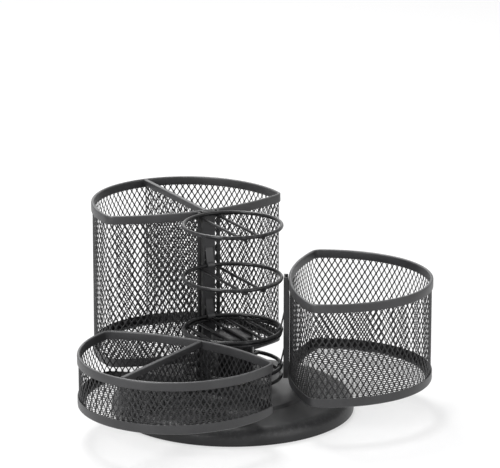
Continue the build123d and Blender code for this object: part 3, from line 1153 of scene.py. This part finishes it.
@dataclass
class Bin:
    """One hanging bin: mesh wall and floor, folded bands, hanger, and a divider if it has one."""

    name: str
    body: Body
    azimuth: float
    divided: bool
    plan: BinPlan = field(default_factory=BinPlan)
    net: ExpandedMetal = field(default_factory=ExpandedMetal)
    skin: float = 0.6 * MM
    skin_out: float = -0.65 * MM
    skin_in: float = 0.85 * MM
    rim_height: float = 5.3 * MM
    hem_height: float = 5.8 * MM
    flange: float = 3.6 * MM
    trim_height: float = 3.7 * MM
    trim_width: float = 2.8 * MM
    web_inner: float = 31.45 * MM
    channel_depth: float = 2.85 * MM
    channel_deepest: float = 3.5 * MM
    channel_taper: float = 15.0 * MM
    channel_width: float = 8.5 * MM
    channel_sheet: float = 0.8 * MM
    window_width: float = 5.8 * MM
    hook_width: float = 5.0 * MM
    hook_rise: float = 11.4 * MM
    hook_reach: float = 2.35 * MM
    window_below: float = 0.4 * MM
    sheet_width: float = 140.0 * MM
    slack: float = 0.1 * MM
    mesh_sharp: float = 75.0

    def __post_init__(self) -> None:
        """Read the bin's bottom and top from the frame."""
        self.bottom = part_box(f"{self.name}_bottom_band")[0].z
        self.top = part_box(f"{self.name}_rim_band")[1].z
        self.turn = Matrix.Rotation(math.radians(self.azimuth), 4, "Z")

    def hand_over(
        self, shape: Shape, part: str, finish: Finish, node: str, sharp: float = 42.0
    ) -> None:
        """Swing a shape to the bin's bearing and tie it to the bin.

        Args:
            shape: The shape, along X.
            part: The part's name, without the bin's.
            finish: Its finish.
            node: The solid that it stands for, without the bin's name.
            sharp: The angle from which edges stay sharp, in degrees.
        """
        bmesh.ops.transform(shape, matrix=self.turn, verts=shape.verts)
        name, stands_for = f"{self.name}_{part}", (f"{self.name}_{node}",)
        Piece(name, self.body, finish, stands_for, sharp).hand_over(shape)

    def build_wall(self) -> None:
        """Build the mesh wall and roll it round the plan, its seam at the front's middle."""
        inside = self.skin + self.slack / 2
        low, high = self.bottom + inside, self.top - inside
        shape = self.net.sheet(self.plan.length, high - low, shut_sides=False)
        for vertex in shape.verts:
            station, height, out = vertex.co
            vertex.co = self.plan.point(station, self.plan.middle - out, low + height)
        close_up(shape)
        self.hand_over(shape, "mesh_wall", MESH_PAINT, "wall", self.mesh_sharp)

    def build_floor(self) -> None:
        """Build the mesh floor, cut to the plan."""
        low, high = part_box(f"{self.name}_floor")
        corner = Vector((self.plan.front, -self.sheet_width / 2, 0))
        swap = Matrix(((0, 1, 0), (1, 0, 0), (0, 0, -1)))
        inset = self.skin_in + self.slack
        trims = [(swap @ (point - corner), swap @ out) for point, out in self.plan.trims(inset)]
        shape = self.net.sheet(self.sheet_width, self.plan.depth, trims)
        place = Matrix.Translation(corner + Vector((0, 0, (low.z + high.z) / 2))) @ swap.to_4x4()
        bmesh.ops.transform(shape, matrix=place, verts=shape.verts)
        self.hand_over(shape, "mesh_floor", MESH_PAINT, "floor", self.mesh_sharp)

    def build_rim(self) -> None:
        """Build the rim, a strip folded over the wall's upper edge."""
        out, inside, top = self.skin_out, self.skin_in + self.skin, self.top
        foot, under, edge = top - self.rim_height, top - self.skin, 0.2 * MM
        fold, crease = 0.8 * MM, 0.25 * MM
        corners = [(out, foot, edge), (out, top, fold), (inside, top, fold), (inside, foot, edge)]
        corners += [(self.skin_in, foot, edge), (self.skin_in, under, crease)]
        corners += [(out + self.skin, under, crease), (out + self.skin, foot, edge)]
        shape = self.plan.band(section(corners, 4))
        mark_edges(shape, lambda p: 1 - (top - p.z) / (0.7 * MM))
        self.hand_over(shape, "rim", BAND_PAINT, "rim_band")

    def build_hem(self) -> None:
        """Build the bottom band, turned in under the floor."""
        out, low, edge = self.skin_out, self.bottom, 0.2 * MM
        over, high, fold = low + self.skin, low + self.hem_height, 1.1 * MM
        corners = [(out, low, fold), (out, high, edge), (out + self.skin, high, edge)]
        corners += [(out + self.skin, over, 0.45 * MM), (self.flange, over, edge)]
        corners += [(self.flange, low, edge)]
        shape = self.plan.band(section(corners, 5))
        mark_edges(shape, lambda p: 1 - (p.z - low) / (1.2 * MM))
        self.hand_over(shape, "hem", BAND_PAINT, "bottom_band")

    def build_divider(self) -> None:
        """Build the mesh divider and the strip folded over its upper edge."""
        low, high = self.bottom + self.skin + 0.95 * MM, self.top - self.slack
        rim = self.skin_in + self.skin + self.slack
        start, length = self.plan.front + rim, self.plan.depth - 2 * rim
        shape = self.net.sheet(length, high - self.skin - self.slack / 2 - low)
        stand = Matrix.Translation((start, 0, low)) @ Matrix.Rotation(math.pi / 2, 4, "X")
        bmesh.ops.transform(shape, matrix=stand, verts=shape.verts)
        self.hand_over(shape, "mesh_divider", MESH_PAINT, "divider", self.mesh_sharp)

        half, foot, edge = self.trim_width / 2, high - self.trim_height, 0.18 * MM
        inner, under, fold, crease = half - self.skin, high - self.skin, 0.5 * MM, 0.2 * MM
        corners = [(-half, foot, edge), (-half, high, fold), (half, high, fold), (half, foot, edge)]
        corners += [(inner, foot, edge), (inner, under, crease)]
        corners += [(-inner, under, crease), (-inner, foot, edge)]
        strip = bmesh.new()
        end = strip.faces.new([strip.verts.new((start, p.x, p.z)) for p in section(corners, 4)])
        grown = bmesh.ops.extrude_face_region(strip, geom=[end], use_keep_orig=True)["geom"]
        bmesh.ops.translate(strip, vec=(length, 0, 0), verts=kind_of(grown, Point))
        mark_edges(strip, lambda p: 1 - (high - p.z) / (0.7 * MM))
        self.hand_over(strip, "divider_cap", BAND_PAINT, "divider_trim")

    def hook_heights(self) -> list[float]:
        """Find the rings that this bin's tabs hook over.

        Returns:
            The rings' heights.
        """
        heights = [sum(corner.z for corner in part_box(ring)) / 2 for ring in RINGS[1:4]]
        return [height for height in heights if height + self.hook_rise + self.skin < self.top]

    def build_hanger(self) -> None:
        """Build the folded channel with its windows and the tabs pressed out of them."""
        half, web = self.channel_width / 2, self.web_inner
        height = self.top - self.bottom
        shape = bmesh.new()
        middle = Matrix.Translation((web, 0, self.bottom + height / 2))
        size = Matrix.Rotation(math.pi / 2, 4, "Y") @ Matrix.Diagonal((height, 2 * half, 1.0, 1.0))
        bmesh.ops.create_grid(shape, x_segments=1, y_segments=1, size=0.5, matrix=middle @ size)
        hooks = self.hook_heights()
        windows = [(ring - self.window_below, ring + self.hook_rise) for ring in hooks]
        window, tab = self.window_width / 2, self.hook_width / 2
        for aside in (-window, -tab, tab, window):
            cut_across(shape, (0, aside, 0), (0, 1, 0), 0.001 * MM)
        levels = self.flange_levels()
        for level in [*(end for pair in windows for end in pair), *(z for z, _ in levels[1:-1])]:
            cut_across(shape, (0, 0, level), (0, 0, 1), 0.001 * MM)
        holes = []
        for face in shape.faces:
            at = face.calc_center_median()
            if abs(at.y) < window and any(low < at.z < high for low, high in windows):
                holes.append(face)
        bmesh.ops.delete(shape, geom=holes, context="FACES")
        sides = [e for e in shape.edges if all(abs(abs(v.co.y) - half) < NEAR for v in e.verts)]
        for share in (0.2, 1.0):
            flange = bmesh.ops.extrude_edge_only(shape, edges=sides)["geom"]
            sides = kind_of(flange, Edge)
            for vertex in kind_of(flange, Point):
                above = max(1, sum(z < vertex.co.z - NEAR for z, _ in levels))
                upper = min(above, len(levels) - 1)
                (low, shallow), (high, deep) = levels[above - 1], levels[upper]
                part = (vertex.co.z - low) / max(high - low, NEAR)
                vertex.co.x = web + share * (shallow + (deep - shallow) * min(part, 1.0))
        for ring in hooks:
            self.press_tab(shape, ring)
        bmesh.ops.recalc_face_normals(shape, faces=shape.faces)
        bmesh.ops.solidify(shape, geom=list(shape.faces), thickness=self.channel_sheet)
        self.hand_over(shape, "hanger_strip", BAND_PAINT, "hanger")

    def flange_levels(self) -> list[tuple[float, float]]:
        """Say how deep the channel's flanges are: shallow past both bands, tapered below the rim.

        Returns:
            Each level's height and depth, upwards.
        """
        hem, rim = self.bottom + self.hem_height, self.top - self.rim_height
        return [
            (self.bottom, self.channel_depth),
            (hem + 0.2 * MM, self.channel_depth),
            (hem + 0.6 * MM, self.channel_deepest),
            (self.top - self.channel_taper, self.channel_deepest),
            (rim - 0.3 * MM, self.channel_depth),
            (self.top, self.channel_depth - 0.35 * MM),
        ]

    def press_tab(self, shape: Shape, ring: float) -> None:
        """Bend one tab out of the top of its window and over the ring.

        Args:
            shape: The channel's middle surface.
            ring: The ring's height.
        """
        web, top, half = self.web_inner, ring + self.hook_rise, self.hook_width / 2

        def at_tab(point: Vector) -> bool:
            """Whether a point is on the tab's root."""
            return abs(point.z - top) < NEAR and abs(point.y) < half + NEAR

        tip = [edge for edge in shape.edges if all(at_tab(v.co) for v in edge.verts)]
        path = [(web - 0.05 * MM, top - 0.5 * MM), (web - 0.25 * MM, top - 1.2 * MM)]
        for degrees in (104, 122, 140, 158, 176, 196):
            reach = bearing(self.hook_reach, degrees, 0.0)
            path.append((Silo.ring_radius + reach.x, ring + reach.y))
        for radius, height in path:
            grown = bmesh.ops.extrude_edge_only(shape, edges=tip)["geom"]
            tip = kind_of(grown, Edge)
            for vertex in kind_of(grown, Point):
                vertex.co.x, vertex.co.z = radius, height

    def build(self) -> None:
        """Build the whole bin."""
        self.build_wall()
        self.build_floor()
        self.build_rim()
        self.build_hem()
        self.build_hanger()
        if self.divided:
            self.build_divider()


# Studio


@dataclass(frozen=True)
class Lamp:
    """One soft square lamp that faces the object: its place, side and power in watts."""

    name: str
    spot: Corner
    size: float
    power: float

    def hang(self) -> None:
        """Hang the lamp in the studio."""
        data = bpy.data.lights.new(self.name, "AREA")
        data.size, data.energy = self.size, self.power
        lamp = bpy.data.objects.new(self.name, data)
        bpy.context.collection.objects.link(lamp)
        lamp.location = self.spot
        facing = Vector((0, 0, 60 * MM)) - Vector(self.spot)
        lamp.rotation_euler = facing.to_track_quat("-Z", "Y").to_euler()


@dataclass
class Studio:
    """Camera, floor and soft lights."""

    lens: float = 229.46
    pitch: float = 17.204
    roll: float = 0.065
    distance: float = 1.96253
    aim_side: float = 0.326
    aim_down: float = 15.471
    swing: float = 2.458
    look_height: float = 50.0 * MM
    sky_light: float = 0.36
    floor_size: float = 4.0
    floor_drop: float = 0.05 * MM
    lamps: tuple[Lamp, ...] = (
        Lamp("top", (-0.35, 0.75, 1.5), 0.55, 24.0),
        Lamp("key", (-0.75, -1.1, 0.75), 0.6, 15.0),
        Lamp("fill", (1.3, -0.9, 0.8), 1.0, 7.0),
        Lamp("back", (-0.3, 2.5, 1.05), 0.8, 3.0),
    )

    def build_camera(self) -> None:
        """Place the camera at the photograph's viewing angle."""
        angles = (self.pitch, self.aim_side, self.aim_down, self.roll)
        pitch, side, down, roll = (math.radians(angle) for angle in angles)
        back = self.distance * math.cos(pitch)
        spot = Vector((0, -back, self.look_height + self.distance * math.sin(pitch)))
        level = math.cos(down)
        ahead = Vector((math.sin(side) * level, math.cos(side) * level, -math.sin(down)))
        right = Vector((math.cos(side), -math.sin(side), 0))
        up = right.cross(ahead)
        right, up = (
            math.cos(roll) * right + math.sin(roll) * up,
            math.cos(roll) * up - math.sin(roll) * right,
        )
        place = Matrix((right, up, -ahead)).transposed().to_4x4()
        place.translation = spot
        data = bpy.data.cameras.new("camera")
        data.lens, data.sensor_width, data.sensor_fit = self.lens, 36.0, "HORIZONTAL"
        data.clip_end = 20.0
        camera = bpy.data.objects.new("camera", data)
        bpy.context.collection.objects.link(camera)
        camera.matrix_world = Matrix.Rotation(math.radians(self.swing), 4, "Z") @ place
        bpy.context.scene.camera = camera

    def build_floor(self) -> None:
        """Lay the floor, a hair below the foot's rubber sheet."""
        below = Matrix.Translation((0, 0, -self.floor_drop))
        shape = bmesh.new()
        bmesh.ops.create_grid(
            shape, x_segments=8, y_segments=8, size=self.floor_size, matrix=below
        )
        mesh = bpy.data.meshes.new("studio_floor")
        shape.to_mesh(mesh)
        shape.free()
        mesh.materials.append(FLOOR.material())
        floor = bpy.data.objects.new("studio_floor", mesh)
        bpy.context.collection.objects.link(floor)

    def build_world(self) -> None:
        """Surround the studio with soft light that the camera sees as plain white."""
        world = bpy.data.worlds.new("studio")
        bpy.context.scene.world = world
        tree = ShaderTree(world, "ShaderNodeOutputWorld")
        sky, plain = (
            tree.node("ShaderNodeBackground", None, {"Color": WHITE, "Strength": strength})
            for strength in (self.sky_light, 1.0)
        )
        tree.close(tree.node("ShaderNodeMixShader", None, {0: tree.seen(), 1: sky, 2: plain}))

    def build(self) -> None:
        """Build the studio."""
        self.build_camera()
        self.build_floor()
        self.build_world()
        for lamp in self.lamps:
            lamp.hang()
        bpy.context.scene.view_settings.view_transform = "Standard"


def main() -> None:
    """Build the organizer and its studio."""
    logging.basicConfig(level=logging.INFO, format="%(message)s")
    Studio().build()
    Foot().build()
    Silo().build()
    for bin_part in (
        Bin("medium", Body.MEDIUM, 0.0, False),
        Bin("tall", Body.TALL, 120.0, True),
        Bin("tray", Body.TRAY, 240.0, True),
    ):
        bin_part.build()


if __name__ == "__main__":
    main()
